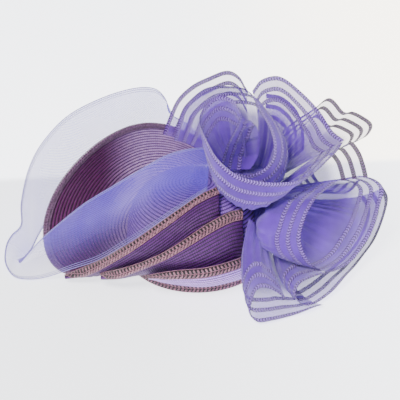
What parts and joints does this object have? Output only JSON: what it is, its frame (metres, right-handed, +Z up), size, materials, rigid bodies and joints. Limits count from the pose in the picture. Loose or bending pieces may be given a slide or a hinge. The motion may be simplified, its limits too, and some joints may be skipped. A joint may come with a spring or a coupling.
{
  "type": "fascinator headpiece",
  "caption": "Fascinator: sewn straw crown and swirled upturned brim, braid trims, sheer crin ribbon and a striped organza ribbon flower, with comb and sprung hair clip.",
  "frame": {"origin": "centre of the head opening on the plane the hem stands on", "axes": "+Z up out of the crown, +X towards the flower, -Y towards the front pleats"},
  "size_m": [0.3865, 0.2449, 0.1723],
  "materials": {
    "straw_plum": "sewn plum straw braid with a soft sheen",
    "straw_lilac": "sewn lilac straw braid with a satin sheen",
    "braid": "looped and plaited mauve braid",
    "grosgrain": "ribbed grosgrain ribbon",
    "wire": "covered millinery wire",
    "crin": "sheer horsehair braid",
    "organza": "sheer organza ribbon with satin stripes",
    "core": "light padded core gathered over with matching ribbon",
    "comb_plastic": "clear moulded plastic",
    "clip_steel": "nickel plated spring steel",
    "thread": "matching sewing thread"
  },
  "bodies": {
    "headpiece": {"crown_shell": "straw_lilac", "sweatband": "grosgrain", "hem_braid": "braid", "brim_shell": "straw_plum", "brim_binding": "braid", "brim_wire": "wire", "pleat_upper": "straw_plum", "pleat_middle": "straw_plum", "pleat_lower": "straw_lilac", "braid_trim_upper": "braid", "braid_trim_middle": "braid", "braid_trim_lower": "braid", "crin_ribbon": "crin", "flower_base": "core", "rose_heart": "organza", "rose_inner_petal": "organza", "rose_outer_petal": "organza", "back_arch": "organza", "top_right_petal": "organza", "far_right_ripple": "organza", "right_drop": "organza", "lower_right_loop": "organza", "lower_curl": "organza", "bottom_fold": "organza", "rear_petal_upper": "organza", "rear_petal_lower": "organza", "comb": "comb_plastic", "comb_stitches": "thread", "clip_base": "clip_steel", "clip_pin": "clip_steel", "clip_spring": "clip_steel", "clip_stitches": "thread"},
    "jaw": {"clip_jaw": "clip_steel"}
  },
  "joints": [
    {"name": "clip_open", "type": "hinge", "parent": "headpiece", "child": "jaw", "pos_m": [-0.004, 0.0604, 0.025], "axis": [0, 0, -1], "range_deg": [0, 28], "stiffness_Nm_per_rad": 0.02, "springref_deg": -28.65}
  ]
}
